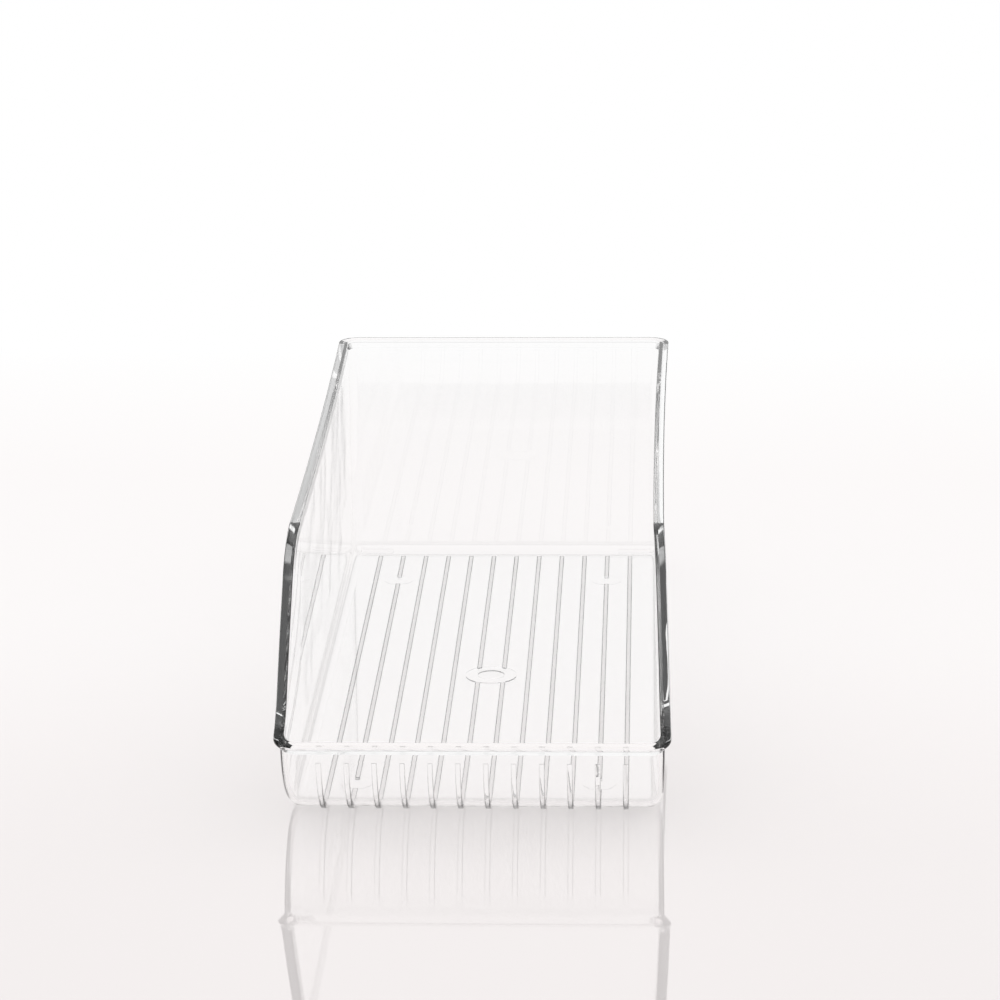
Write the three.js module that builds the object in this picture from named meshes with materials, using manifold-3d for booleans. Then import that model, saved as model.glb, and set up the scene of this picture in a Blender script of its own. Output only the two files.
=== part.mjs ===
// A clear fridge bin for drinks cans: one injection moulding, open at the top. Its low front cradles the
// first can, its side walls drop to the front in an S-curve, and it has a turned-out rim and ribs under
// the floor. Millimetres. X is to the right, Y to the back, Z up. The origin is on the table, under the
// middle of the bin.
import * as THREE from "three";
import { mergeVertices } from "three/addons/utils/BufferGeometryUtils.js";
import Module from "manifold-3d";

const wasm = await Module();
wasm.setup();

// Overall sizes, over the rim.
const length = 350;
const width = 147;
const height = 102;
const lipHeight = 36;

// The moulded skin.
const wallThickness = 1.8;
const cradleRadius = 34;
const edgeRadius = 6;
const draftLean = 0.5;
const bowDepth = 3;
const bowCentreBack = 277;

// The turned-out rim, whose underside slopes back to the wall, and the curve of its side.
const rimOverhang = 2.4;
const rimDepth = 2;
const rimBevel = 2.4;
const rimChamfer = 0.5;
const shoulderRadius = 30;
const footRadius = 22;
const slopeAngle = THREE.MathUtils.degToRad(62);

// The ribs under the floor, which the bin stands on. The side gap runs from a side's face to the middle of
// the outermost rib.
const ribCount = 12;
const ribSideGap = 14.2;
const ribWidth = 2;
const ribHeight = 1;
const ribBackGap = 7.3;
const ribTopAngle = THREE.MathUtils.degToRad(80);

// Four low round landings that break the ribs, and the disc in their middle, with a dimple in it.
const landingGap = 10.4;
const landingDiameter = 12.8;
const landingRise = 0.1;
const landingRib = 1;
const landingSpacing = 255;
const discDiameter = 21;
const discRise = 0.5;
const dimpleDiameter = 11;
const discShift = 1.7;

// Two short low feet under the back edge, one near each corner. The side gap runs from a side's face to a
// foot's outer end.
const cornerFootSideGap = 4.6;
const cornerFootLength = 15;
const cornerFootWidth = 2;
const cornerFootInset = 2;

// How finely round stretches are cut into flats.
const cornerSteps = 4;
const edgeSteps = 4;
const cradleSteps = 4;
const upperSteps = 3;
const cradleRowShare = 0.8;
const backSteps = 2;
const sideSteps = 6;
const shoulderSteps = 5;
const slopeSteps = 2;
const footSteps = 4;
const frontSteps = 2;
const ribArcSteps = 10;
const roundSides = 32;

// How far each cutter runs past what it cuts, and how close points must be to count as one.
const overrun = 1;
const mergeDistance = 0.001;

// The outside skin of the walls, before draft and bow.
const halfWidth = width / 2 - rimOverhang - draftLean;
const backFace = length / 2 - rimOverhang - draftLean;
const frontFace = -length / 2 + rimOverhang;
const lipRise = Math.min(lipHeight - ribHeight, cradleRadius);
const cradleY = frontFace + reachOf(cradleRadius, lipRise);
const cornerLength = edgeRadius * Math.PI / 2;
const bowCentre = backFace - bowCentreBack;
const sideLength = backFace - edgeRadius - (frontFace + edgeRadius);
const straightHalf = halfWidth - edgeRadius;
const ribPitch = 2 * (halfWidth - ribSideGap) / (ribCount - 1);

// The rim's course over the side: level, shoulder arc, straight slope, foot arc, level round the lip.
const footEnd = sideLength + cornerLength;
const arcDrop = (shoulderRadius + footRadius) * (1 - Math.cos(slopeAngle));
const slopeRun = (height - lipHeight - arcDrop) / Math.tan(slopeAngle);
const footStart = footEnd - footRadius * Math.sin(slopeAngle);
const shoulderEnd = footStart - slopeRun;
const shoulderStart = shoulderEnd - shoulderRadius * Math.sin(slopeAngle);

// How far a round of this radius has come out at a height above its lowest point.
function reachOf(radius, rise) {
  const below = radius - Math.min(rise, radius);
  return Math.sqrt(Math.max(0, radius * radius - below * below));
}

// Height and slope of the rim's top at a distance along the half outline, counted from the back corner.
function rimCourse(along) {
  if (along <= shoulderStart) return { top: height, slope: 0 };
  if (along >= footEnd) return { top: lipHeight, slope: 0 };
  if (along < shoulderEnd) {
    const slope = Math.asin((along - shoulderStart) / shoulderRadius);
    return { top: height - shoulderRadius * (1 - Math.cos(slope)), slope };
  }
  if (along > footStart) {
    const slope = Math.asin((footEnd - along) / footRadius);
    return { top: lipHeight + footRadius * (1 - Math.cos(slope)), slope };
  }
  const startTop = height - shoulderRadius * (1 - Math.cos(slopeAngle));
  return { top: startTop - (along - shoulderEnd) * Math.tan(slopeAngle), slope: slopeAngle };
}

// The outside outline of the right half, from the middle of the back to the middle of the front.
function outline(along) {
  if (along <= -cornerLength) {
    return { x: straightHalf + cornerLength + along, y: backFace, outX: 0, outY: 1 };
  }
  if (along < 0) {
    const turn = -along / edgeRadius;
    return cornerPoint(straightHalf, backFace - edgeRadius, Math.cos(turn), Math.sin(turn));
  }
  if (along <= sideLength) {
    return { x: halfWidth, y: backFace - edgeRadius - along, outX: 1, outY: 0 };
  }
  if (along < footEnd) {
    const turn = (along - sideLength) / edgeRadius;
    return cornerPoint(straightHalf, frontFace + edgeRadius, Math.cos(turn), -Math.sin(turn));
  }
  return { x: straightHalf - (along - footEnd), y: frontFace, outX: 0, outY: -1 };
}

function cornerPoint(centreX, centreY, outX, outY) {
  return { x: centreX + edgeRadius * outX, y: centreY + edgeRadius * outY, outX, outY };
}

// A point of the skin that lies `inset` inside the outside skin, `rise` above that skin's own floor.
function skinPoint(along, wallRise, rise, inset) {
  const edge = edgeRadius - inset;
  const cradle = cradleRadius - inset;
  const edgeReach = reachOf(edge, rise);
  const below = cradle - Math.min(rise, cradle);
  const sideX = straightHalf + edgeReach;
  if (along <= -cornerLength) {
    return [straightHalf + cornerLength + along, backFace - edgeRadius + edgeReach];
  }
  if (along < 0) {
    const turn = -along / edgeRadius;
    const backY = backFace - edgeRadius;
    return [straightHalf + edgeReach * Math.cos(turn), backY + edgeReach * Math.sin(turn)];
  }
  if (along <= sideLength) {
    const backY = backFace - edgeRadius;
    const share = along / (backY - sideFrontY(wallRise, inset));
    return [sideX, backY - Math.min(share, 1) * (backY - sideFrontY(rise, inset))];
  }
  if (along < footEnd) {
    const first = Math.acos(Math.min(1, edgeReach / edge));
    const turn = first + (Math.PI / 2 - first) * (along - sideLength) / cornerLength;
    const ring = cradle - edge + edge * Math.sin(turn);
    const reach = Math.sqrt(Math.max(0, ring * ring - below * below));
    return [straightHalf + edge * Math.cos(turn), cradleY - reach];
  }
  return [straightHalf - (along - footEnd), cradleY - reachOf(cradle, rise)];
}

// Where the flat of the side wall ends towards the front, at a height above the skin's floor.
function sideFrontY(rise, inset) {
  const ring = cradleRadius - edgeRadius;
  const below = cradleRadius - inset - Math.min(rise, cradleRadius - inset);
  return cradleY - Math.sqrt(Math.max(0, ring * ring - below * below));
}

// Draft leans the walls out, and the long sides bow in a little where no corner stiffens them.
function settle(x, y, z) {
  const riseShare = Math.max(0, z - ribHeight) / (height - ribHeight);
  const end = y > bowCentre ? backFace - edgeRadius : frontFace + edgeRadius;
  const awayShare = Math.min(1, (y - bowCentre) / (end - bowCentre));
  const out = (draftLean - bowDepth * (1 - awayShare ** 2)) * riseShare;
  const sideShare = THREE.MathUtils.clamp(x / halfWidth, -1, 1);
  const backShare = THREE.MathUtils.clamp((y - cradleY) / (backFace - cradleY), 0, 1);
  return [x + out * sideShare, y + draftLean * riseShare * backShare, z];
}

// The rim's section: how far out from the outside skin, and how far up from the rim's top. From its last
// point the sloping underside runs to the wall.
function rimSection() {
  const inner = -wallThickness;
  return [
    [inner, -rimChamfer],
    [inner + rimChamfer, 0],
    [rimOverhang - rimChamfer, 0],
    [rimOverhang, -rimChamfer],
    [rimOverhang, -rimDepth],
  ];
}

// Heights of the wall's rows over a skin's floor: the edge round, the cradle, then up to the rim.
function wallRises(inset, top) {
  const edge = edgeRadius - inset;
  const cradle = cradleRadius - inset;
  const rises = [];
  for (let i = 1; i <= edgeSteps; i++) {
    rises.push(edge * (1 - Math.cos(Math.PI / 2 * i / edgeSteps)));
  }
  const first = Math.acos(1 - edge / cradle);
  const last = Math.acos(1 - cradleRowShare * lipRise / cradleRadius);
  for (let i = 1; i <= cradleSteps; i++) {
    rises.push(cradle * (1 - Math.cos(first + (last - first) * i / cradleSteps)));
  }
  const base = rises[rises.length - 1];
  for (let i = 1; i <= upperSteps; i++) rises.push(base + (top - base) * i / upperSteps);
  return rises;
}

// One upright section of the bin, from the inside floor over the rim to the outside floor.
function wallSection(along) {
  const { top, slope } = rimCourse(along);
  const under = -(rimDepth + rimBevel);
  const foot = along + under * Math.sin(slope);
  const footTop = top + under * Math.cos(slope);
  const points = [];
  const skinRows = (inset) => {
    const floorZ = ribHeight + inset;
    const wallRise = footTop - floorZ;
    return [0, ...wallRises(inset, wallRise)].map((rise) => {
      const [x, y] = skinPoint(foot, wallRise, rise, inset);
      return settle(x, y, floorZ + rise);
    });
  };
  points.push(...skinRows(wallThickness));
  for (const [out, up] of rimSection()) {
    const base = outline(along + up * Math.sin(slope));
    points.push(settle(base.x + out * base.outX, base.y + out * base.outY, top + up * Math.cos(slope)));
  }
  points.push(...skinRows(0).reverse());
  return points;
}

// Distances along the half outline at which sections stand.
function stations() {
  const stops = [-cornerLength - straightHalf];
  const runTo = (end, steps) => {
    const start = stops[stops.length - 1];
    for (let i = 1; i <= steps; i++) stops.push(start + (end - start) * i / steps);
  };
  runTo(-cornerLength, backSteps);
  runTo(0, cornerSteps);
  runTo(shoulderStart, sideSteps);
  runTo(shoulderEnd, shoulderSteps);
  runTo(footStart, slopeSteps);
  runTo(sideLength, footSteps);
  runTo(footEnd, cornerSteps);
  runTo(footEnd + straightHalf, frontSteps);
  return stops;
}

// The whole skin: the sections joined round the bin, with a flat cap for each side of the floor.
function shellGeometry() {
  const half = stations().map(wallSection);
  const mirrored = half.slice(1, -1).reverse().map((s) => s.map(([x, y, z]) => [-x, y, z]));
  const sections = [...half, ...mirrored];
  const rows = sections[0].length;
  const positions = sections.flat(2);
  const insideFloor = addPoint(positions, 0, 0, ribHeight + wallThickness);
  const outsideFloor = addPoint(positions, 0, 0, ribHeight);
  const index = [];
  sections.forEach((_, i) => {
    const here = i * rows;
    const next = (i + 1) % sections.length * rows;
    for (let j = 0; j < rows - 1; j++) {
      index.push(here + j, next + j + 1, here + j + 1, here + j, next + j, next + j + 1);
    }
    index.push(insideFloor, next, here, outsideFloor, here + rows - 1, next + rows - 1);
  });
  const geometry = new THREE.BufferGeometry();
  geometry.setAttribute("position", new THREE.Float32BufferAttribute(positions, 3));
  geometry.setIndex(index);
  return geometry;
}

function addPoint(positions, x, y, z) {
  positions.push(x, y, z);
  return positions.length / 3 - 1;
}

// A solid for joining and cutting, and back again.
function solidOf(geometry) {
  const bare = new THREE.BufferGeometry().setAttribute("position", geometry.getAttribute("position"));
  bare.setIndex(geometry.getIndex());
  const merged = mergeVertices(bare, mergeDistance);
  const triVerts = new Uint32Array(merged.index.array);
  return new wasm.Manifold(
    new wasm.Mesh({ numProp: 3, vertProperties: merged.attributes.position.array, triVerts }),
  );
}

function geometryOf(solid) {
  const mesh = solid.getMesh();
  const geometry = new THREE.BufferGeometry();
  geometry.setAttribute("position", new THREE.BufferAttribute(mesh.vertProperties, 3));
  geometry.setIndex(new THREE.BufferAttribute(mesh.triVerts, 1));
  const faceted = geometry.toNonIndexed();
  faceted.computeVertexNormals();
  return faceted;
}

// A bar whose outline is drawn in Y and Z and which runs along X from one place to another.
function barAlongX(shape, fromX, toX) {
  const geometry = new THREE.ExtrudeGeometry(shape, {
    depth: toX - fromX,
    bevelEnabled: false,
    curveSegments: ribArcSteps,
  });
  const turn = new THREE.Matrix4().makeBasis(
    new THREE.Vector3(0, 1, 0),
    new THREE.Vector3(0, 0, 1),
    new THREE.Vector3(1, 0, 0),
  );
  return solidOf(geometry.applyMatrix4(turn).translate(fromX, 0, 0));
}

// An upright round, standing on a height.
function upright(diameter, tall, x, y, z) {
  const geometry = new THREE.CylinderGeometry(diameter / 2, diameter / 2, tall, roundSides);
  return solidOf(geometry.rotateX(Math.PI / 2).translate(x, y, z + tall / 2));
}

// A rib's side view: the cradle's outside moved straight down, so that the rib fades out as the wall
// turns up.
function ribShape() {
  const middle = cradleRadius - wallThickness / 2;
  const shape = new THREE.Shape();
  shape.moveTo(backFace - ribBackGap, 0);
  shape.lineTo(backFace - ribBackGap, ribHeight + wallThickness / 2);
  shape.lineTo(cradleY, ribHeight + wallThickness / 2);
  shape.absarc(cradleY, ribHeight + cradleRadius, middle, -Math.PI / 2, -Math.PI / 2 - ribTopAngle, true);
  shape.absarc(cradleY, cradleRadius, cradleRadius, -Math.PI / 2 - ribTopAngle, -Math.PI / 2, false);
  return shape;
}

// Where the ribs stand, from left to right.
function ribPlaces() {
  return Array.from({ length: ribCount }, (_, i) => (i - (ribCount - 1) / 2) * ribPitch);
}

function landingPlaces() {
  const x = -ribPlaces()[landingRib];
  const ends = [1, -1].map((end) => discShift + end * landingSpacing / 2);
  return [x, -x].flatMap((sideX) => ends.map((y) => [sideX, y]));
}

// All the ribs, broken at the four landings and at the disc.
function ribs() {
  const shape = ribShape();
  const half = ribWidth / 2;
  const bars = ribPlaces().map((x) => barAlongX(shape, x - half, x + half));
  const cutter = (diameter, x, y) => upright(diameter, ribHeight + overrun, x, y, -overrun);
  const gaps = landingPlaces().map(([x, y]) => cutter(landingGap, x, y));
  gaps.push(cutter(discDiameter, 0, discShift));
  const joined = bars.reduce((all, bar) => all.add(bar));
  return gaps.reduce((rest, gap) => rest.subtract(gap), joined);
}

// The low rounds of the underside: the landings, and the disc with its dimple.
function rounds() {
  const middle = wallThickness / 2;
  const round = (diameter, rise, x, y) => upright(diameter, rise + middle, x, y, ribHeight - rise);
  const below = discRise + overrun;
  const dimple = upright(dimpleDiameter, below, 0, discShift, ribHeight - below);
  const disc = round(discDiameter, discRise, 0, discShift).subtract(dimple);
  const landing = ([x, y]) => round(landingDiameter, landingRise, x, y);
  return landingPlaces().reduce((all, place) => all.add(landing(place)), disc);
}

// The two feet at the back corners, which reach up to the middle of the rounded skin above them.
function cornerFeet() {
  const shape = new THREE.Shape();
  const insets = [cornerFootInset - cornerFootWidth / 2, cornerFootInset + cornerFootWidth / 2];
  shape.moveTo(backFace - insets[1], 0);
  shape.lineTo(backFace - insets[0], 0);
  insets.forEach((inset) => {
    const away = (edgeRadius - wallThickness / 2) ** 2 - (edgeRadius - inset) ** 2;
    shape.lineTo(backFace - inset, ribHeight + edgeRadius - Math.sqrt(Math.max(0, away)));
  });
  const outer = halfWidth - cornerFootSideGap;
  const inner = outer - cornerFootLength;
  return barAlongX(shape, inner, outer).add(barAlongX(shape, -outer, -inner));
}

const bin = new THREE.Mesh(
  geometryOf(solidOf(shellGeometry()).add(ribs()).add(rounds()).add(cornerFeet())),
  new THREE.MeshStandardMaterial({
    color: 0xf2f1ef,
    roughness: 0.05,
    metalness: 0,
    transparent: true,
    opacity: 0.25,
  }),
);
bin.name = "can_bin";

const organizer = new THREE.Group();
organizer.add(bin);

export default organizer;
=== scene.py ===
"""A clear fridge bin for drinks cans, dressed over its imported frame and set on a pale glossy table."""

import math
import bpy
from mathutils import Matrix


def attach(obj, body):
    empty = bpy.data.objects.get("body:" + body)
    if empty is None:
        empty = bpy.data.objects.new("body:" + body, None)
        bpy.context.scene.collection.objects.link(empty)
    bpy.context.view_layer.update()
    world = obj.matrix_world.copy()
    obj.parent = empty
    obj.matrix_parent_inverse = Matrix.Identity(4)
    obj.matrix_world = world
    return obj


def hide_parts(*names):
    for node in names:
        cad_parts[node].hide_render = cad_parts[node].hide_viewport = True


bl_info = {
    "name": "Clear Can Bin",
    "version": (1, 0, 0),
    "blender": (4, 5, 0),
    "location": "3D View > Sidebar > Can Bin",
    "description": "Builds a clear moulded bin for drinks cans, with its plastic, table, light and camera",
    "category": "Add Mesh",
}

import bmesh
import bpy
from bpy.props import FloatProperty, FloatVectorProperty, IntProperty, PointerProperty
from mathutils import Matrix

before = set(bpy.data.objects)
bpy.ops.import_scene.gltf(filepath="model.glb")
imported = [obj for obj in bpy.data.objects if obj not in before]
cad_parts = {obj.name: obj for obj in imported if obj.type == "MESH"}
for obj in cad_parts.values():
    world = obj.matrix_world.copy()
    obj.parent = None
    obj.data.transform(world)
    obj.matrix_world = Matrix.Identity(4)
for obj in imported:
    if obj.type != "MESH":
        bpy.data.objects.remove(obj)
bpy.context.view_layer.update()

NODE = "can_bin"
PHOTO_WIDTH = 1000


def length_size(name, description, default):
    """A length in metres."""
    return FloatProperty(name=name, description=description, default=default, unit="LENGTH", precision=5)


def angle_size(name, description, degrees):
    """An angle, given in degrees."""
    return FloatProperty(name=name, description=description, default=math.radians(degrees), subtype="ANGLE")


def amount(name, description, default):
    """A plain number, such as a strength or a share."""
    return FloatProperty(name=name, description=description, default=default)


def colour(name, description, default):
    """A colour in linear values."""
    return FloatVectorProperty(name=name, description=description, default=default, subtype="COLOR")


class CanBinShell(bpy.types.PropertyGroup):
    """Sizes of the moulded skin and its rim, over the rim where they are overall."""

    length: length_size("Length", "Front to back, over the rim", 0.350)
    width: length_size("Width", "Side to side, over the rim", 0.147)
    height: length_size("Height", "From the table to the level rim", 0.102)
    lip_height: length_size("Lip height", "From the table to the top of the low front", 0.036)
    wall: length_size("Wall", "Thickness of the walls and floor", 0.0018)
    cradle: length_size("Cradle radius", "Outside round of the low front", 0.034)
    edge: length_size("Edge radius", "Outside round of the upright and floor edges", 0.006)
    lean: length_size("Draft lean", "How far each wall leans out over its height", 0.0005)
    bow: length_size("Bow", "How far each long side bows in at the rim", 0.003)
    bow_back: length_size("Bow place", "From the back wall to the deepest bow", 0.277)
    floor_rise: length_size("Floor rise", "From the table to the underside of the floor", 0.001)
    overhang: length_size("Rim overhang", "How far the rim stands out from the wall", 0.0024)
    rim_depth: length_size("Rim depth", "Height of the rim's outer edge", 0.0020)
    rim_bevel: length_size("Rim bevel", "Height of the rim's sloping underside", 0.0024)
    rim_round: length_size("Rim round", "Round of the rim's edges", 0.0005)
    lip_ledge: length_size("Lip ledge", "Level part of the low front's top, before it falls away", 0.0016)
    lip_fall: angle_size("Lip fall", "How steeply the low front's top falls to the outside", 28)
    shoulder: length_size("Shoulder radius", "Where the level rim turns down", 0.030)
    foot: length_size("Foot radius", "Where the slope turns level at the lip", 0.022)
    slope: angle_size("Slope", "Steepness of the side's slope", 62)


class CanBinUnderside(bpy.types.PropertyGroup):
    """Sizes of the ribs, rounds and corner feet that the bin stands on."""

    ribs: IntProperty(name="Ribs", description="Ribs that run front to back", default=12, min=2)
    side_gap: length_size("Rib side gap", "From a side's face to the middle of the outermost rib", 0.0142)
    rib_width: length_size("Rib width", "Width of a rib at its root", 0.002)
    rib_round: length_size("Rib round", "Round of a rib's two long edges", 0.0004)
    back_gap: length_size("Rib back gap", "From the back wall to the ribs' back ends", 0.0073)
    top_angle: angle_size("Rib end", "How far round the cradle a rib runs out", 80)
    landing_gap: length_size("Landing gap", "Break in a rib at a landing", 0.0104)
    landing: length_size("Landing", "Diameter of a landing", 0.0128)
    landing_rise: length_size("Landing rise", "How far a landing stands out", 0.0001)
    landing_spacing: length_size("Landing spacing", "Front to back, between landings", 0.255)
    disc: length_size("Disc", "Diameter of the middle disc", 0.021)
    disc_rise: length_size("Disc rise", "How far the disc stands out", 0.0005)
    dimple: length_size("Dimple", "Diameter of the dimple in the disc", 0.011)
    disc_shift: length_size("Disc shift", "The disc's place behind the bin's middle", 0.0017)
    foot_side_gap: length_size("Foot side gap", "From a side's face to a corner foot's outer end", 0.0046)
    foot_length: length_size("Foot length", "Side to side", 0.0150)
    foot_width: length_size("Foot width", "Front to back", 0.0020)
    foot_inset: length_size("Foot inset", "From the back wall to a foot's middle", 0.0020)


class CanBinPlastic(bpy.types.PropertyGroup):
    """Look of the clear plastic."""

    tint: colour("Tint", "Colour of the plastic", (0.985, 0.985, 0.985))
    polish: amount("Least roughness", "Roughness of the most polished patches", 0.0)
    haze: amount("Most roughness", "Roughness of the dullest patches", 0.03)
    ripple: length_size("Ripple", "Height of the faint moulding ripples", 0.000012)
    # The feet's lowest part is rubbed dull, and its darker tint is a painted contact shade where the feet meet
    # the shelf.
    foot_height: length_size("Foot height", "Height up to which the feet are rubbed", 0.0004)
    contact_shade_tint: colour("Contact shade tint", "Colour where the feet rub", (0.78, 0.77, 0.77))
    rubbed_haze: amount("Rubbed haze", "Roughness that rubbing adds", 0.15)


class CanBinStage(bpy.types.PropertyGroup):
    """Table, light and camera."""

    table: colour("Table colour", "Colour of the table", (0.88, 0.835, 0.83))
    gloss: amount("Table roughness", "Roughness of the table's polish", 0.03)
    mirror: amount("Table mirror", "Share of the table's finish that mirrors like metal", 0.25)
    table_half: length_size("Table half size", "Half the side of the table", 6.0)
    table_gap: length_size("Table gap", "Gap between the ribs and the table", 0.00005)
    # White from, White to and Pale ramp the table to white from front to back: past the bin this is the white
    # backdrop, over the bin it is painted light falling from behind.
    white_from: length_size("White from", "Where the table starts to fade to white, front to back", -0.42)
    white_to: length_size("White to", "Where the table is white, front to back", 0.55)
    far_from: length_size("Far from", "How far off the table starts to fade to white on every side", 0.45)
    far_to: length_size("Far to", "How far off the table is white on every side", 0.90)
    pale_from: length_size("Pale from", "Where the table starts to turn paler, front to back", -0.36)
    pale_to: length_size("Pale to", "Where the table has turned paler, front to back", 0.10)
    pale: amount("Pale", "Share of white that the table turns to there", 0.75)
    # Through is painted light: white that clear plastic sees on the table, lightening the bin's shadow there.
    through: amount("Through", "Least share of white on the table as seen through clear plastic", 0.85)
    near_white: colour("Near white", "Tint of the white near the bin", (1.0, 0.965, 0.96))
    light: amount("Light", "Strength of the even light", 1.0)
    horizon: amount("Horizon", "Strength of the backdrop's foot", 0.0)
    wings: amount("Wings", "Strength of the backdrop's low wings", 0.45)
    soft: amount("Soft panels", "Strength of the soft panels at the sides", 0.42)
    bounces: IntProperty(
        name="Bounces", description="How often light may turn inside the clear plastic", default=24, min=1
    )
    flag: amount("Flags", "Strength of the dark flags at the sides", 0.02)
    ceiling: amount("Ceiling", "Strength of the ceiling as plastic sees it", 0.35)
    camera_place: FloatVectorProperty(
        name="Camera place",
        description="Where the camera stands",
        default=(0.064236, -1.479860, 0.517902),
        subtype="TRANSLATION",
    )
    down: angle_size("Down", "How far the camera looks down", 16.548)
    left: angle_size("Left", "How far the camera turns to the left", 2.314)
    roll: angle_size("Roll", "The camera's roll", -0.581)
    focal: amount("Focal length in pixels", "On a photograph 1000 pixels wide", 3807.7)


# Steps that round stretches are cut into.
CORNER_STEPS = 12
EDGE_STEPS = 8
CRADLE_STEPS = 18
UPPER_STEPS = 8
BACK_STEPS = 8
SIDE_STEPS = 28
SHOULDER_STEPS = 16
SLOPE_STEPS = 8
FOOT_STEPS = 14
FRONT_STEPS = 10
RIM_STEPS = 4
RIB_ARC_STEPS = 24
RIB_ROUND_STEPS = 3
ROUND_SIDES = 72

# Share of the lip's rise that the wall's rows follow the cradle for.
CRADLE_ROW_SHARE = 0.8
# Share of the overhang at which the rim's underside ends, just outside the wall.
OVERHANG_SHARE = 0.1
# How far a cutting tool reaches past what it cuts.
OVERRUN = 0.001
# Points nearer than this are one, and edges shorter than this are dissolved.
MERGE_DISTANCE = 1e-6
SHORTEST_EDGE = 1e-7
# Edges with a sharper turn than this are shaded as edges.
SHARP_ANGLE = math.radians(32)

# Range of the noise over which the plastic goes from polished to dull.
HAZE_RANGE = (0.45, 0.75)
# Share of the feet's marked height that is fully rubbed dull and fully darkened by the painted contact shade.
SHADE_AND_RUB_SHARE = 0.3
# How late the table's near tint gives way to pure white.
WHITE_CURVE = 3.0

# The studio's panels, each fading in or out between two directions in degrees. Turn is measured to either
# side from straight behind the bin, and up from the level.
BACKDROP_TURN = (19, 25)
BACKDROP_UP = (0, 11)
SIDES_TURN = (85, 95)
SIDES_UP = (12, 18)
WINGS_TURN = (76, 82)
WINGS_UP = (3, 6)
SOFT_TURN_IN = (49, 52)
SOFT_TURN_OUT = (72, 78)
SOFT_UP_IN = (18, 21)
SOFT_UP_OUT = (29, 32)
CEILING_UP = (46, 54)


def reach_of(radius, rise):
    """How far a round of this radius has come out at a height above its lowest point."""
    below = radius - min(rise, radius)
    return math.sqrt(max(0.0, radius * radius - below * below))


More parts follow.
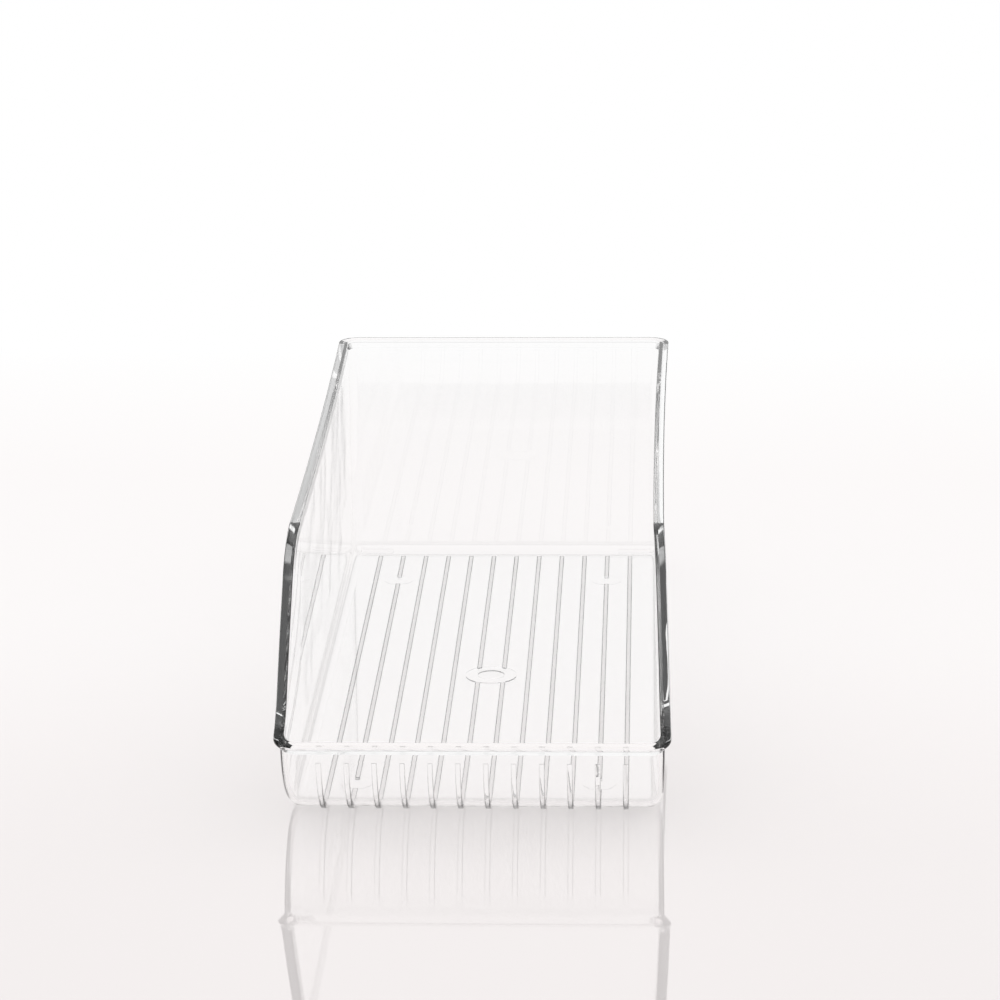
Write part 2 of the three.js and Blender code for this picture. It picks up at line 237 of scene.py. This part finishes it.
class BinForm:
    """The bin's skin as sections round its outline, from the inside floor over the rim to the underside."""

    def __init__(self, sizes):
        self.s = s = sizes
        self.half_width = s.width / 2 - s.overhang - s.lean
        self.back_face = s.length / 2 - s.overhang - s.lean
        self.front_face = -s.length / 2 + s.overhang
        self.lip_rise = min(s.lip_height - s.floor_rise, s.cradle)
        self.cradle_y = self.front_face + reach_of(s.cradle, self.lip_rise)
        self.corner_length = s.edge * math.pi / 2
        self.side_length = self.back_face - self.front_face - 2 * s.edge
        self.straight_half = self.half_width - s.edge
        self.bow_centre = self.back_face - s.bow_back
        self.foot_end = self.side_length + self.corner_length
        arc_drop = (s.shoulder + s.foot) * (1 - math.cos(s.slope))
        slope_run = (s.height - s.lip_height - arc_drop) / math.tan(s.slope)
        self.foot_start = self.foot_end - s.foot * math.sin(s.slope)
        self.shoulder_end = self.foot_start - slope_run
        self.shoulder_start = self.shoulder_end - s.shoulder * math.sin(s.slope)

    def rim_course(self, along):
        """Height and slope of the rim's top at a distance along the half outline, from the back corner."""
        s = self.s
        if along <= self.shoulder_start:
            return s.height, 0.0
        if along >= self.foot_end:
            return s.lip_height, 0.0
        if along < self.shoulder_end:
            slope = math.asin((along - self.shoulder_start) / s.shoulder)
            return s.height - s.shoulder * (1 - math.cos(slope)), slope
        if along > self.foot_start:
            slope = math.asin((self.foot_end - along) / s.foot)
            return s.lip_height + s.foot * (1 - math.cos(slope)), slope
        start = s.height - s.shoulder * (1 - math.cos(s.slope))
        return start - (along - self.shoulder_end) * math.tan(s.slope), s.slope

    def outline(self, along):
        """Point and outward direction on the right half's outside outline, from the middle of the back."""
        s = self.s
        if along <= -self.corner_length:
            return self.straight_half + self.corner_length + along, self.back_face, 0.0, 1.0
        if along < 0:
            turn = -along / s.edge
            return self.round_corner(self.back_face - s.edge, math.cos(turn), math.sin(turn))
        if along <= self.side_length:
            return self.half_width, self.back_face - s.edge - along, 1.0, 0.0
        if along < self.foot_end:
            turn = (along - self.side_length) / s.edge
            return self.round_corner(self.front_face + s.edge, math.cos(turn), -math.sin(turn))
        return self.straight_half - (along - self.foot_end), self.front_face, 0.0, -1.0

    def round_corner(self, centre_y, out_x, out_y):
        return self.straight_half + self.s.edge * out_x, centre_y + self.s.edge * out_y, out_x, out_y

    def side_front(self, rise, inset):
        """Where the flat of the side wall ends towards the front, at a height above the skin's floor."""
        ring = self.s.cradle - self.s.edge
        below = self.s.cradle - inset - min(rise, self.s.cradle - inset)
        return self.cradle_y - math.sqrt(max(0.0, ring * ring - below * below))

    def skin_point(self, along, wall_rise, rise, inset):
        """A point of the skin that lies inset inside the outside skin, at a height above its own floor."""
        s = self.s
        edge = s.edge - inset
        cradle = s.cradle - inset
        edge_reach = reach_of(edge, rise)
        back_y = self.back_face - s.edge
        if along <= -self.corner_length:
            return self.straight_half + self.corner_length + along, back_y + edge_reach
        if along < 0:
            turn = -along / s.edge
            return self.straight_half + edge_reach * math.cos(turn), back_y + edge_reach * math.sin(turn)
        if along <= self.side_length:
            share = min(1.0, along / (back_y - self.side_front(wall_rise, inset)))
            return self.straight_half + edge_reach, back_y - share * (back_y - self.side_front(rise, inset))
        if along < self.foot_end:
            first = math.acos(min(1.0, edge_reach / edge))
            turn = first + (math.pi / 2 - first) * (along - self.side_length) / self.corner_length
            ring = cradle - edge + edge * math.sin(turn)
            below = cradle - min(rise, cradle)
            reach = math.sqrt(max(0.0, ring * ring - below * below))
            return self.straight_half + edge * math.cos(turn), self.cradle_y - reach
        return self.straight_half - (along - self.foot_end), self.cradle_y - reach_of(cradle, rise)

    def settle(self, x, y, z):
        """Draft leans the walls out, and the long sides bow in where no corner stiffens them."""
        s = self.s
        rise = max(0.0, z - s.floor_rise) / (s.height - s.floor_rise)
        end = self.back_face - s.edge if y > self.bow_centre else self.front_face + s.edge
        away = min(1.0, (y - self.bow_centre) / (end - self.bow_centre))
        out = (s.lean - s.bow * (1 - away * away)) * rise
        side = max(-1.0, min(1.0, x / self.half_width))
        back = max(0.0, min(1.0, (y - self.cradle_y) / (self.back_face - self.cradle_y)))
        return x + out * side, y + s.lean * rise * back, z

    def rim_section(self, fall):
        """The rim's section, as out from the outside skin and up from the rim's top, which falls away."""
        s = self.s
        r = s.rim_round
        slope = math.atan2(s.rim_bevel, s.overhang)
        upright = math.pi / 2
        tangent = r * math.tan((upright - slope) / 2)
        run = s.overhang - r + s.wall - s.lip_ledge
        points = []
        for out, up, start, sweep in (
            (-s.wall + r, -r, math.pi, -upright),
            (s.lip_ledge - s.wall, 0.0, 0.0, 0.0),
            (s.overhang - r, -run * math.tan(fall) - r / math.cos(fall), upright - fall, fall - upright),
            (s.overhang - r, tangent - s.rim_depth, 0.0, slope - upright),
        ):
            if sweep == 0.0:
                points.append((out, up))
                continue
            for i in range(RIM_STEPS + 1):
                angle = start + sweep * i / RIM_STEPS
                points.append((out + r * math.cos(angle), up + r * math.sin(angle)))
        points.append((OVERHANG_SHARE * s.overhang, -s.rim_depth - (1 - OVERHANG_SHARE) * s.rim_bevel))
        return points

    def wall_rises(self, inset, top):
        """Heights of the wall's rows over a skin's floor: the edge round, the cradle, then up to the rim."""
        edge = self.s.edge - inset
        cradle = self.s.cradle - inset
        rises = [edge * (1 - math.cos(math.pi / 2 * i / EDGE_STEPS)) for i in range(1, EDGE_STEPS + 1)]
        first = math.acos(1 - edge / cradle)
        last = math.acos(1 - CRADLE_ROW_SHARE * self.lip_rise / self.s.cradle)
        for i in range(1, CRADLE_STEPS + 1):
            rises.append(cradle * (1 - math.cos(first + (last - first) * i / CRADLE_STEPS)))
        base = rises[-1]
        return rises + [base + (top - base) * i / UPPER_STEPS for i in range(1, UPPER_STEPS + 1)]

    def skin_rows(self, foot, foot_top, inset):
        floor_z = self.s.floor_rise + inset
        wall_rise = foot_top - floor_z
        rows = []
        for rise in [0.0] + self.wall_rises(inset, wall_rise):
            x, y = self.skin_point(foot, wall_rise, rise, inset)
            rows.append(self.settle(x, y, floor_z + rise))
        return rows

    def section(self, along):
        """One upright section of the bin, from the inside floor over the rim to the underside."""
        s = self.s
        top, slope = self.rim_course(along)
        under = -(s.rim_depth + s.rim_bevel)
        foot = along + under * math.sin(slope)
        foot_top = top + under * math.cos(slope)
        points = self.skin_rows(foot, foot_top, s.wall)
        low = max(0.0, min(1.0, (along - self.foot_start) / (self.foot_end - self.foot_start)))
        for out, up in self.rim_section(s.lip_fall * low):
            x, y, out_x, out_y = self.outline(along + up * math.sin(slope))
            points.append(self.settle(x + out * out_x, y + out * out_y, top + up * math.cos(slope)))
        return points + self.skin_rows(foot, foot_top, 0.0)[::-1]

    def stations(self):
        """Distances along the half outline at which sections stand."""
        stops = [-self.corner_length - self.straight_half]
        for end, steps in (
            (-self.corner_length, BACK_STEPS),
            (0.0, CORNER_STEPS),
            (self.shoulder_start, SIDE_STEPS),
            (self.shoulder_end, SHOULDER_STEPS),
            (self.foot_start, SLOPE_STEPS),
            (self.side_length, FOOT_STEPS),
            (self.foot_end, CORNER_STEPS),
            (self.foot_end + self.straight_half, FRONT_STEPS),
        ):
            start = stops[-1]
            stops += [start + (end - start) * i / steps for i in range(1, steps + 1)]
        return stops


def mesh_object(name, verts, faces):
    """An object whose mesh is closed, with its normals turned out."""
    mesh = bpy.data.meshes.new(name)
    mesh.from_pydata(verts, [], faces)
    bm = bmesh.new()
    bm.from_mesh(mesh)
    bmesh.ops.remove_doubles(bm, verts=bm.verts, dist=MERGE_DISTANCE)
    bmesh.ops.dissolve_degenerate(bm, edges=bm.edges, dist=SHORTEST_EDGE)
    bmesh.ops.recalc_face_normals(bm, faces=bm.faces)
    bm.to_mesh(mesh)
    bm.free()
    obj = bpy.data.objects.new(name, mesh)
    bpy.context.scene.collection.objects.link(obj)
    return obj


def round_bar(name, diameter, low, high, x, y):
    """An upright round bar between two heights."""
    turns = [2 * math.pi * i / ROUND_SIDES for i in range(ROUND_SIDES)]
    ring = [(math.cos(turn), math.sin(turn)) for turn in turns]
    verts = [(x + diameter / 2 * c, y + diameter / 2 * s, z) for z in (low, high) for c, s in ring]
    faces = []
    for i in range(ROUND_SIDES):
        after = (i + 1) % ROUND_SIDES
        faces.append((i, after, ROUND_SIDES + after, ROUND_SIDES + i))
    faces += [tuple(range(ROUND_SIDES)), tuple(range(ROUND_SIDES, 2 * ROUND_SIDES))]
    return mesh_object(name, verts, faces)


def plain_mesh(obj):
    """Turns what an object's modifiers make of it into its own mesh, and takes them off."""
    depsgraph = bpy.context.evaluated_depsgraph_get()
    made = bpy.data.meshes.new_from_object(obj.evaluated_get(depsgraph))
    obj.modifiers.clear()
    obj.data = made


def combine(target, tools, operation):
    """Joins or cuts target with each tool, and removes the tools."""
    for tool in tools:
        step = target.modifiers.new("step", "BOOLEAN")
        step.operation = operation
        step.solver = "MANIFOLD"
        step.object = tool
        plain_mesh(target)
        bpy.data.objects.remove(tool)


def need(name):
    """The draft piece of this name, which an earlier button makes."""
    obj = bpy.data.objects.get(name)
    if obj is None:
        raise RuntimeError(name + " isn't there yet: make it first")
    return obj


class CANBIN_OT_shell(bpy.types.Operator):
    """Makes the skin: floor, cradle, walls and turned-out rim in one closed sheet of even thickness"""

    bl_idname = "canbin.shell"
    bl_label = "Skin and Rim"

    def execute(self, context):
        form = BinForm(context.scene.canbin_shell)
        half = [form.section(along) for along in form.stations()]
        sections = half + [[(-x, y, z) for x, y, z in points] for points in half[-2:0:-1]]
        rows = len(half[0])
        count = len(sections)
        verts = [point for points in sections for point in points]
        faces = []
        for i in range(count):
            here, there = i * rows, (i + 1) % count * rows
            faces += [(here + j, here + j + 1, there + j + 1, there + j) for j in range(rows - 1)]
        faces += [tuple(i * rows for i in range(count)), tuple(i * rows + rows - 1 for i in range(count))]
        mesh_object("skin", verts, faces)
        return {"FINISHED"}


def rib_tree():
    """Geometry nodes that set one rib out in a row."""
    tree = bpy.data.node_groups.new("rib_row", "GeometryNodeTree")
    face = tree.interface
    face.new_socket("Rib", in_out="INPUT", socket_type="NodeSocketGeometry")
    ids = {}
    for name, kind in (
        ("Ribs", "NodeSocketInt"),
        ("First", "NodeSocketVector"),
        ("Step", "NodeSocketVector"),
        ("Finish", "NodeSocketMaterial"),
    ):
        ids[name] = face.new_socket(name, in_out="INPUT", socket_type=kind).identifier
    face.new_socket("Ribs", in_out="OUTPUT", socket_type="NodeSocketGeometry")
    given = tree.nodes.new("NodeGroupInput")
    line = tree.nodes.new("GeometryNodeMeshLine")
    place = tree.nodes.new("GeometryNodeInstanceOnPoints")
    real = tree.nodes.new("GeometryNodeRealizeInstances")
    finish = tree.nodes.new("GeometryNodeSetMaterial")
    result = tree.nodes.new("NodeGroupOutput")
    link = tree.links.new
    link(given.outputs["Ribs"], line.inputs["Count"])
    link(given.outputs["First"], line.inputs["Start Location"])
    link(given.outputs["Step"], line.inputs["Offset"])
    link(line.outputs["Mesh"], place.inputs["Points"])
    link(given.outputs["Rib"], place.inputs["Instance"])
    link(place.outputs["Instances"], real.inputs["Geometry"])
    link(real.outputs["Geometry"], finish.inputs["Geometry"])
    link(given.outputs["Finish"], finish.inputs["Material"])
    link(finish.outputs["Geometry"], result.inputs["Ribs"])
    return tree, ids


def rib_section(under):
    """Half a rib's section: how far to the side, and what share of the rib's height down from its root."""
    half, r = under.rib_width / 2, under.rib_round
    points = [(half, 0.0, 0.0)]
    for i in range(RIB_ROUND_STEPS + 1):
        angle = math.pi / 2 * i / RIB_ROUND_STEPS
        points.append((half - r + r * math.cos(angle), 1.0, r * math.sin(angle) - r))
    return points


def rib_mesh(form, under):
    """One rib in the middle plane: its foot runs along the table, then up the cradle until it runs out."""
    s = form.s
    path = [(form.back_face - under.back_gap, 0.0, (0.0, -1.0), s.floor_rise)]
    for i in range(RIB_ARC_STEPS + 1):
        turn = under.top_angle * i / RIB_ARC_STEPS
        down = (-math.sin(turn), -math.cos(turn))
        y = form.cradle_y + s.cradle * down[0]
        z = s.cradle + s.cradle * down[1]
        path.append((y, z, down, s.floor_rise * math.cos(turn)))
    half = rib_section(under)
    section = half + [(-x, share, back) for x, share, back in half[::-1]]
    verts = []
    for y, z, down, tall in path:
        root = tall + s.wall / 2
        for x, share, back in section:
            keep = min(tall, under.rib_round) / under.rib_round if under.rib_round else 0.0
            off = -root if share == 0 else back * keep
            verts.append((x, y + down[0] * off, z + down[1] * off))
    n = len(section)
    faces = [tuple(range(n)), tuple(range(len(verts) - n, len(verts)))]
    for here in range(0, len(verts) - n, n):
        there = here + n
        faces += [(here + j, here + (j + 1) % n, there + (j + 1) % n, there + j) for j in range(n)]
    return verts, faces


class CANBIN_OT_ribs(bpy.types.Operator):
    """Makes the ribs under the floor, which run out up the cradle and break at the landings and the disc"""

    bl_idname = "canbin.ribs"
    bl_label = "Ribs"

    def execute(self, context):
        form = BinForm(context.scene.canbin_shell)
        under = context.scene.canbin_underside
        ribs = mesh_object("rib_row", *rib_mesh(form, under))
        tree, ids = rib_tree()
        row = ribs.modifiers.new("row", "NODES")
        row.node_group = tree
        row[ids["Ribs"]] = under.ribs
        row[ids["First"]] = (under.side_gap - form.half_width, 0.0, 0.0)
        row[ids["Step"]] = (rib_pitch(form, under), 0.0, 0.0)
        row[ids["Finish"]] = clear_plastic(context.scene.canbin_plastic)
        ribs.update_tag()
        plain_mesh(ribs)
        high = form.s.floor_rise + form.s.wall / 2
        gaps = [
            round_bar("gap", under.landing_gap, -OVERRUN, form.s.floor_rise + OVERRUN, x, y)
            for x, y in landing_places(form, under)
        ]
        gaps.append(round_bar("gap", under.disc, -OVERRUN, high, 0.0, under.disc_shift))
        combine(ribs, gaps, "DIFFERENCE")
        return {"FINISHED"}


def rib_pitch(form, under):
    """From one rib to the next."""
    return 2 * (form.half_width - under.side_gap) / (under.ribs - 1)


def landing_places(form, under):
    """The four landings, on the second rib from each side."""
    x = form.half_width - under.side_gap - rib_pitch(form, under)
    half = under.landing_spacing / 2
    return [(side * x, under.disc_shift + end * half) for side in (1, -1) for end in (1, -1)]


class CANBIN_OT_rounds(bpy.types.Operator):
    """Makes the four landings, the disc with its dimple, and the two low feet at the back corners"""

    bl_idname = "canbin.rounds"
    bl_label = "Landings, Disc and Feet"

    def execute(self, context):
        form = BinForm(context.scene.canbin_shell)
        under = context.scene.canbin_underside
        s = form.s
        high = s.floor_rise + s.wall / 2
        disc = round_bar("rounds", under.disc, s.floor_rise - under.disc_rise, high, 0.0, under.disc_shift)
        dimple = round_bar("dimple", under.dimple, -OVERRUN, s.floor_rise, 0.0, under.disc_shift)
        combine(disc, [dimple], "DIFFERENCE")
        landings = [
            round_bar("landing", under.landing, s.floor_rise - under.landing_rise, high, x, y)
            for x, y in landing_places(form, under)
        ]
        combine(disc, landings + [self.foot(form, under, side) for side in (1, -1)], "UNION")
        return {"FINISHED"}

    def foot(self, form, under, side):
        """The foot stands on the table, and its top lies in the middle of the rounded skin above it."""
        s = form.s
        insets = (under.foot_inset + under.foot_width / 2, under.foot_inset - under.foot_width / 2)
        outline = [(form.back_face - inset, 0.0) for inset in insets]
        for inset in insets[::-1]:
            reach = math.sqrt((s.edge - s.wall / 2) ** 2 - (s.edge - inset) ** 2)
            outline.append((form.back_face - inset, s.floor_rise + s.edge - reach))
        outer = side * (form.half_width - under.foot_side_gap)
        verts = [(x, y, z) for x in (outer - side * under.foot_length, outer) for y, z in outline]
        faces = [(0, 1, 2, 3), (4, 5, 6, 7)] + [(i, (i + 1) % 4, 4 + (i + 1) % 4, 4 + i) for i in range(4)]
        return mesh_object("foot", verts, faces)


class CANBIN_OT_moulding(bpy.types.Operator):
    """Joins skin, ribs, landings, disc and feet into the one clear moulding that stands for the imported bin"""

    bl_idname = "canbin.moulding"
    bl_label = "Clear Moulding"

    def execute(self, context):
        piece = need("skin")
        combine(piece, [need("rib_row"), need("rounds")], "UNION")
        piece.name = "clear_moulding"
        piece.data.name = "clear_moulding"
        piece.data.materials.clear()
        piece.data.materials.append(clear_plastic(context.scene.canbin_plastic))
        piece.data.polygons.foreach_set("use_smooth", [True] * len(piece.data.polygons))
        piece.data.set_sharp_from_angle(angle=SHARP_ANGLE)
        flats = piece.modifiers.new("flats", "WEIGHTED_NORMAL")
        flats.mode = "FACE_AREA"
        flats.weight = 100
        flats.keep_sharp = True
        plain_mesh(piece)
        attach(piece, "root")
        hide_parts(NODE)
        return {"FINISHED"}


def math_step(nodes, link, operation, *values):
    """A math node fed with sockets or numbers."""
    step = nodes.new("ShaderNodeMath")
    step.operation = operation
    for socket, value in zip(step.inputs, values):
        if isinstance(value, (int, float)):
            socket.default_value = value
        else:
            link(value, socket)
    return step.outputs["Value"]


def fade(nodes, link, value, start, end, low=0.0, high=1.0):
    """Goes smoothly from low, where the value is start, to high, where it is end."""
    step = nodes.new("ShaderNodeMapRange")
    step.interpolation_type = "SMOOTHSTEP"
    for name, number in (("From Min", start), ("From Max", end), ("To Min", low), ("To Max", high)):
        step.inputs[name].default_value = number
    link(value, step.inputs["Value"])
    return step.outputs["Result"]


def fade_angle(nodes, link, angle, degrees, low=0.0, high=1.0):
    """A fade between two angles in degrees."""
    start, end = degrees
    return fade(nodes, link, angle, math.radians(start), math.radians(end), low, high)


def product(nodes, link, first, *others):
    """The values multiplied in turn."""
    for other in others:
        first = math_step(nodes, link, "MULTIPLY", first, other)
    return first


def seen_ray(nodes, link):
    """1 for a ray that the camera, a mirror or clear plastic sees by, 0 for one that only carries light."""
    ray = nodes.new("ShaderNodeLightPath").outputs
    mirror = math_step(nodes, link, "MAXIMUM", ray["Is Camera Ray"], ray["Is Glossy Ray"])
    seen = math_step(nodes, link, "MAXIMUM", mirror, ray["Is Transmission Ray"])
    straight = math_step(nodes, link, "LESS_THAN", ray["Diffuse Depth"], 0.5)
    return math_step(nodes, link, "MULTIPLY", seen, straight)


def clear_plastic(look):
    """Polished clear plastic with faint haze patches and ripples, dulled where its feet rub on a shelf and
    darkened there by a painted contact shade.
    """
    made = bpy.data.materials.get("polished_clear_plastic")
    if made:
        return made
    made = bpy.data.materials.new("polished_clear_plastic")
    made.use_nodes = True
    nodes, link = made.node_tree.nodes, made.node_tree.links.new
    shader = nodes["Principled BSDF"]
    shader.inputs["IOR"].default_value = 1.57
    shader.inputs["Transmission Weight"].default_value = 1.0
    place = nodes.new("ShaderNodeTexCoord").outputs["Object"]
    split = nodes.new("ShaderNodeSeparateXYZ")
    link(place, split.inputs["Vector"])
    # The feet's lowest part: rubbed roughness, and a darker tint that is a painted contact shade.
    foot_shade_and_rub = fade(nodes, link, split.outputs["Z"], look.foot_height, look.foot_height * SHADE_AND_RUB_SHARE)
    tone = nodes.new("ShaderNodeMix")
    tone.data_type = "RGBA"
    tone.inputs["A"].default_value = (*look.tint, 1.0)
    tone.inputs["B"].default_value = (*look.contact_shade_tint, 1.0)
    link(foot_shade_and_rub, tone.inputs["Factor"])
    link(tone.outputs["Result"], shader.inputs["Base Color"])
    flow = nodes.new("ShaderNodeMapping")
    flow.inputs["Scale"].default_value = (60.0, 9.0, 60.0)
    link(place, flow.inputs["Vector"])
    patches = nodes.new("ShaderNodeTexNoise")
    patches.inputs["Scale"].default_value = 1.0
    patches.inputs["Detail"].default_value = 3.0
    link(flow.outputs["Vector"], patches.inputs["Vector"])
    haze = fade(nodes, link, patches.outputs["Fac"], *HAZE_RANGE, look.polish, look.haze)
    scuffed = math_step(nodes, link, "MULTIPLY", foot_shade_and_rub, look.rubbed_haze)
    link(math_step(nodes, link, "ADD", haze, scuffed), shader.inputs["Roughness"])
    ripples = nodes.new("ShaderNodeTexNoise")
    ripples.inputs["Scale"].default_value = 35.0
    ripples.inputs["Detail"].default_value = 1.0
    link(place, ripples.inputs["Vector"])
    bump = nodes.new("ShaderNodeBump")
    bump.inputs["Strength"].default_value = 1.0
    bump.inputs["Distance"].default_value = look.ripple
    link(ripples.outputs["Fac"], bump.inputs["Height"])
    link(bump.outputs["Normal"], shader.inputs["Normal"])
    return made


def table_finish(look):
    """Pale polished table that fades to a white backdrop behind the bin and far from it; over the bin the fade
    is painted light falling from behind, and clear plastic sees extra white on it, painted light that lightens
    the bin's shadow.
    """
    made = bpy.data.materials.new("pale_table")
    made.use_nodes = True
    nodes, link = made.node_tree.nodes, made.node_tree.links.new
    shader = nodes["Principled BSDF"]
    shader.inputs["Base Color"].default_value = (*look.table, 1.0)
    shader.inputs["Metallic"].default_value = look.mirror
    shader.inputs["Roughness"].default_value = look.gloss
    shader.inputs["IOR"].default_value = 1.8
    place = nodes.new("ShaderNodeTexCoord")
    split = nodes.new("ShaderNodeSeparateXYZ")
    link(place.outputs["Object"], split.inputs["Vector"])
    away = nodes.new("ShaderNodeVectorMath")
    away.operation = "LENGTH"
    link(place.outputs["Object"], away.inputs[0])
    # Ramps to white from front to back: past the bin the white backdrop, over the bin painted light falling
    # from behind.
    behind = nodes.new("ShaderNodeMapRange")
    behind.inputs["From Min"].default_value = look.white_from
    behind.inputs["From Max"].default_value = look.white_to
    link(split.outputs["Y"], behind.inputs["Value"])
    far = fade(nodes, link, away.outputs["Value"], look.far_from, look.far_to)
    pale = fade(nodes, link, split.outputs["Y"], look.pale_from, look.pale_to, 0.0, look.pale)
    near = math_step(nodes, link, "MAXIMUM", behind.outputs["Result"], pale)
    white_share = math_step(nodes, link, "MAXIMUM", near, far)
    tone = nodes.new("ShaderNodeMix")
    tone.data_type = "RGBA"
    tone.inputs["A"].default_value = (*look.near_white, 1.0)
    tone.inputs["B"].default_value = (1.0, 1.0, 1.0, 1.0)
    link(math_step(nodes, link, "POWER", white_share, WHITE_CURVE), tone.inputs["Factor"])
    white = nodes.new("ShaderNodeEmission")
    link(tone.outputs["Result"], white.inputs["Color"])
    ray = nodes.new("ShaderNodeLightPath").outputs
    # Clear plastic sees at least this share of white on the table: painted light that lightens the bin's
    # shadow.
    through = product(nodes, link, ray["Is Transmission Ray"], look.through)
    shown = math_step(nodes, link, "MAXIMUM", white_share, through)
    mix = nodes.new("ShaderNodeMixShader")
    link(product(nodes, link, shown, seen_ray(nodes, link)), mix.inputs["Fac"])
    link(shader.outputs["BSDF"], mix.inputs[1])
    link(white.outputs["Emission"], mix.inputs[2])
    link(mix.outputs["Shader"], nodes["Material Output"].inputs["Surface"])
    return made


def studio_world(look):
    """White to the camera and even light; mirrors and plastic see a white backdrop between dark flags."""
    world = bpy.data.worlds.new("studio")
    world.use_nodes = True
    nodes, link = world.node_tree.nodes, world.node_tree.links.new
    place = nodes.new("ShaderNodeTexCoord")
    split = nodes.new("ShaderNodeSeparateXYZ")
    link(place.outputs["Generated"], split.inputs["Vector"])
    up = math_step(nodes, link, "ARCSINE", split.outputs["Z"])
    aside = math_step(nodes, link, "ABSOLUTE", split.outputs["X"])
    turn = math_step(nodes, link, "ARCTAN2", aside, split.outputs["Y"])
    backdrop = product(
        nodes, link,
        fade_angle(nodes, link, turn, BACKDROP_TURN, 1.0, 0.0),
        fade_angle(nodes, link, up, BACKDROP_UP, look.horizon, 1.0),
    )
    sides = product(
        nodes, link,
        fade_angle(nodes, link, turn, SIDES_TURN),
        fade_angle(nodes, link, up, SIDES_UP),
    )
    wings = product(
        nodes, link,
        fade_angle(nodes, link, turn, WINGS_TURN, look.wings, 0.0),
        fade_angle(nodes, link, up, WINGS_UP, 1.0, 0.0),
    )
    soft = product(
        nodes, link,
        fade_angle(nodes, link, turn, SOFT_TURN_IN),
        look.soft,
        fade_angle(nodes, link, turn, SOFT_TURN_OUT, 1.0, 0.0),
        fade_angle(nodes, link, up, SOFT_UP_IN),
        fade_angle(nodes, link, up, SOFT_UP_OUT, 1.0, 0.0),
    )
    panels = fade_angle(nodes, link, up, CEILING_UP, look.flag, look.ceiling)
    for panel in (backdrop, sides, wings, soft):
        panels = math_step(nodes, link, "MAXIMUM", panels, panel)
    ray = nodes.new("ShaderNodeLightPath").outputs
    mirrored = math_step(nodes, link, "SUBTRACT", seen_ray(nodes, link), ray["Is Camera Ray"])
    strength = nodes.new("ShaderNodeMix")
    link(math_step(nodes, link, "MAXIMUM", mirrored, 0.0), strength.inputs["Factor"])
    link(math_step(nodes, link, "MAXIMUM", ray["Is Camera Ray"], look.light), strength.inputs["A"])
    link(panels, strength.inputs["B"])
    link(strength.outputs["Result"], nodes["Background"].inputs["Strength"])
    nodes["Background"].inputs["Color"].default_value = (1.0, 1.0, 1.0, 1.0)
    return world


class CANBIN_OT_stage(bpy.types.Operator):
    """Sets the pale table, the soft light and the camera"""

    bl_idname = "canbin.stage"
    bl_label = "Table, Light and Camera"

    def execute(self, context):
        scene = context.scene
        look = scene.canbin_stage
        half = look.table_half
        sides = ((-half, -half), (half, -half), (half, half), (-half, half))
        corners = [(x, y, -look.table_gap) for x, y in sides]
        mesh = bpy.data.meshes.new("table")
        mesh.from_pydata(corners, [], [(0, 1, 2, 3)])
        table = bpy.data.objects.new("table", mesh)
        scene.collection.objects.link(table)
        mesh.materials.append(table_finish(look))
        scene.world = studio_world(look)
        self.camera(scene, look)
        scene.view_settings.view_transform = "Standard"
        scene.cycles.max_bounces = look.bounces
        scene.cycles.glossy_bounces = look.bounces
        scene.cycles.transmission_bounces = look.bounces
        return {"FINISHED"}

    def camera(self, scene, look):
        data = bpy.data.cameras.new("camera")
        data.sensor_width = 36.0
        data.lens = look.focal * data.sensor_width / PHOTO_WIDTH
        data.clip_end = 50.0
        camera = bpy.data.objects.new("camera", data)
        turn = Matrix.Rotation(look.left, 4, "Z") @ Matrix.Rotation(math.pi / 2 - look.down, 4, "X")
        turn = turn @ Matrix.Rotation(look.roll, 4, "Z")
        camera.matrix_world = Matrix.Translation(look.camera_place) @ turn
        scene.collection.objects.link(camera)
        scene.camera = camera


class CANBIN_PT_panel(bpy.types.Panel):
    """Lists the steps in the order they are made"""

    bl_idname = "CANBIN_PT_panel"
    bl_label = "Can Bin"
    bl_space_type = "VIEW_3D"
    bl_region_type = "UI"
    bl_category = "Can Bin"

    def draw(self, context):
        for step in STEPS:
            self.layout.operator(step.bl_idname)


STEPS = (CANBIN_OT_shell, CANBIN_OT_ribs, CANBIN_OT_rounds, CANBIN_OT_moulding, CANBIN_OT_stage)
GROUPS = {
    "canbin_shell": CanBinShell,
    "canbin_underside": CanBinUnderside,
    "canbin_plastic": CanBinPlastic,
    "canbin_stage": CanBinStage,
}


def register():
    for group in GROUPS.values():
        bpy.utils.register_class(group)
    for name, group in GROUPS.items():
        setattr(bpy.types.Scene, name, PointerProperty(type=group))
    for made in STEPS + (CANBIN_PT_panel,):
        bpy.utils.register_class(made)


def unregister():
    for made in (CANBIN_PT_panel,) + STEPS[::-1]:
        bpy.utils.unregister_class(made)
    for name, group in reversed(list(GROUPS.items())):
        delattr(bpy.types.Scene, name)
        bpy.utils.unregister_class(group)


def main():
    register()
    bpy.ops.canbin.shell()
    bpy.ops.canbin.ribs()
    bpy.ops.canbin.rounds()
    bpy.ops.canbin.moulding()
    bpy.ops.canbin.stage()


if __name__ == "__main__":
    main()
